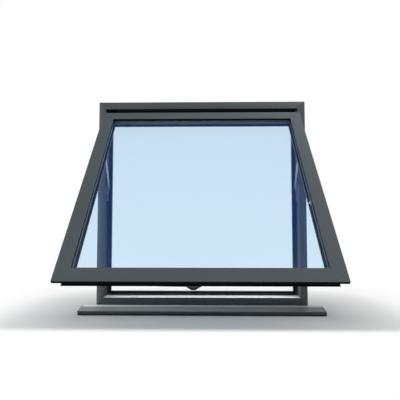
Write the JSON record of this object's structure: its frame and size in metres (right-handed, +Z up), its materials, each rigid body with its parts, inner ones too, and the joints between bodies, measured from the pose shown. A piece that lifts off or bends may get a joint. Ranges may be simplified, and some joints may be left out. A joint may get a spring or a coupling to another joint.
{
  "type": "flush casement window",
  "caption": "Dark grey aluminium casement window with a projecting sill, its flush top-hung sash held open on friction stays",
  "frame": {"origin": "underside of the sill, half way along it, in the plane of the outer frame's front face", "axes": "+X to the right seen from outdoors, +Y from outdoors to indoors, +Z up"},
  "size_m": [1.01, 0.6193, 0.9043],
  "materials": {
    "frame_paint": "satin blue-grey powder coat",
    "sash_paint": "satin blue-grey powder coat",
    "bead_paint": "satin blue-grey powder coat",
    "sill_paint": "satin grey powder coat",
    "sill_cap": "moulded, matt",
    "black_rubber": "matt",
    "clear_glass": "clear with a slight blue tint",
    "spacer": "mill finish",
    "stay_steel": "satin",
    "stay_plastic": "moulded, matt",
    "handle_paint": "satin dark grey powder coat",
    "striker_steel": "satin"
  },
  "bodies": {
    "root": {"frame_head": "frame_paint", "frame_bottom_rail": "frame_paint", "frame_left_jamb": "frame_paint", "frame_right_jamb": "frame_paint", "sash_top_rail": "sash_paint", "sash_bottom_rail": "sash_paint", "sash_left_stile": "sash_paint", "sash_right_stile": "sash_paint", "bead_top": "bead_paint", "bead_bottom": "bead_paint", "bead_left": "bead_paint", "bead_right": "bead_paint", "sill": "sill_paint", "sill_left_end_cap": "sill_cap", "sill_right_end_cap": "sill_cap", "frame_seal": "black_rubber", "sash_seal": "black_rubber", "outer_glazing_gasket": "black_rubber", "inner_glazing_gasket": "black_rubber", "outer_glass": "clear_glass", "inner_glass": "clear_glass", "spacer_bar": "spacer", "left_stay_track": "stay_steel", "left_stay_slider": "stay_steel", "left_stay_short_arm": "stay_steel", "left_stay_long_arm": "stay_steel", "left_stay_sash_arm": "stay_steel", "right_stay_track": "stay_steel", "right_stay_slider": "stay_steel", "right_stay_short_arm": "stay_steel", "right_stay_long_arm": "stay_steel", "right_stay_sash_arm": "stay_steel", "left_stay_end_cap": "stay_plastic", "right_stay_end_cap": "stay_plastic", "handle_base": "handle_paint", "handle_lever": "handle_paint", "striker_plate": "striker_steel"}
  },
  "joints": []
}
